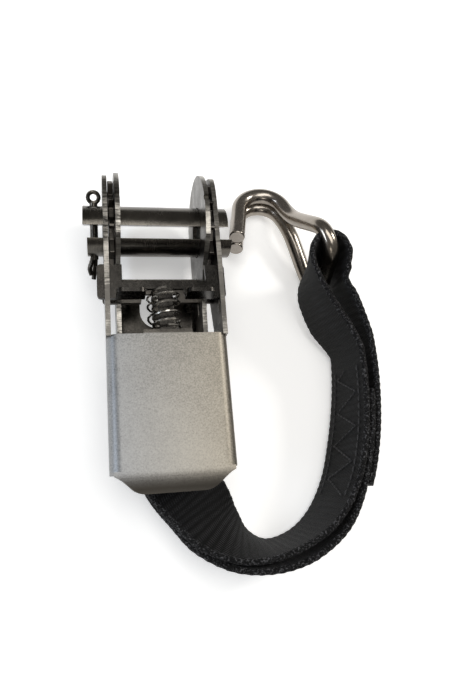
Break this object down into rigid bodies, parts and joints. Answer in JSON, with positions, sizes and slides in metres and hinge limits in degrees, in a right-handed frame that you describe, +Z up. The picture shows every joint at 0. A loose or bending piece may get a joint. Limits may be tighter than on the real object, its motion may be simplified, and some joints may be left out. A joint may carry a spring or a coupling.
{
  "type": "ratchet tie-down buckle",
  "caption": "Compact steel ratchet buckle with a folding handle, split spool and sprung pawls, a short doubled webbing tail and a double-J wire hook.",
  "frame": {"origin": "on the flat underside of the frame's web, on its centre line, 45 mm from the spool axis", "axes": "+X along the spool's axis, to the side where the hook lies; +Y to the axle end of the frame; +Z up from the surface it lies on"},
  "size_m": [0.1028, 0.1476, 0.0416],
  "materials": {
    "satin_steel": "satin, bead-blasted stainless steel",
    "plate_steel": "tumbled stainless sheet",
    "turned_steel": "turned and milled stainless bar",
    "wire_steel": "polished stainless wire",
    "webbing_black": "woven black polyester webbing"
  },
  "bodies": {
    "frame": {"frame_channel": "plate_steel", "fixed_end_pin": "turned_steel", "fixed_end_sleeve": "turned_steel"},
    "handle": {"handle_plate": "satin_steel"},
    "spool": {"mandrel_upper_half": "turned_steel", "mandrel_lower_half": "turned_steel", "ratchet_wheel_left": "plate_steel", "ratchet_wheel_right": "plate_steel", "split_pin": "turned_steel"},
    "drive_pawl": {"drive_pawl": "plate_steel", "drive_pawl_spring": "wire_steel"},
    "lock_pawl": {"lock_pawl": "plate_steel", "lock_pawl_spring": "wire_steel"},
    "webbing": {"webbing_tail": "webbing_black"},
    "hook": {"wire_hook": "wire_steel"}
  },
  "joints": [
    {"name": "handle_swing", "type": "hinge", "parent": "frame", "child": "handle", "pos_m": [0, 0.045, 0.021], "axis": [-1, 0, 0], "range_deg": [0, 165]},
    {"name": "spool_spin", "type": "hinge", "parent": "frame", "child": "spool", "pos_m": [0, 0.045, 0.021], "axis": [1, 0, 0], "continuous": true},
    {"name": "drive_pawl_slide", "type": "slide", "parent": "handle", "child": "drive_pawl", "axis": [0, -1, 0], "range_m": [0, 0.0045], "stiffness_N_per_m": 400, "springref_m": -0.006, "deforming": ["drive_pawl_spring"]},
    {"name": "lock_pawl_slide", "type": "slide", "parent": "frame", "child": "lock_pawl", "axis": [0, -1, 0], "range_m": [0, 0.0045], "stiffness_N_per_m": 400, "springref_m": -0.006, "deforming": ["lock_pawl_spring"]},
    {"name": "tail_swing", "type": "hinge", "parent": "frame", "child": "webbing", "pos_m": [0, -0.027, 0.0115], "axis": [-1, 0, 0], "range_deg": [0, 20]},
    {"name": "hook_swing", "type": "hinge", "parent": "webbing", "child": "hook", "pos_m": [0.0636, 0.0303, 0.0206], "axis": [-0.0699, 0.3096, 0.9483], "range_deg": [-30, 0]}
  ]
}
